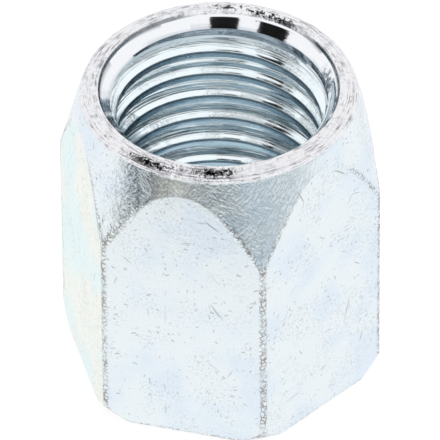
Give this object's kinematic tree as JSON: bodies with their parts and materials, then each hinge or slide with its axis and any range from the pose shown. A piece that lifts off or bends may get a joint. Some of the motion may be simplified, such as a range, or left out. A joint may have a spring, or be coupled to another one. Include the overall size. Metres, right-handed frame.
{
  "type": "tapered hexagon nut",
  "caption": "Tall zinc-plated steel hexagon nut, with a right-hand thread right through it and one end tapered to a round rim.",
  "frame": {"origin": "on the axis of the bore, in the plane of the base (the full-width end)", "axes": "+Z along the bore from the base to the tapered rim; two flats face -Y and +Y, and two corners lie on -X and +X"},
  "size_m": [0.0346, 0.03, 0.035],
  "materials": {
    "zinc_plated_steel": "bright blue-passivated zinc plating, with a finely pitted, tumbled surface"
  },
  "bodies": {
    "root": {"nut": "zinc_plated_steel"}
  },
  "joints": []
}
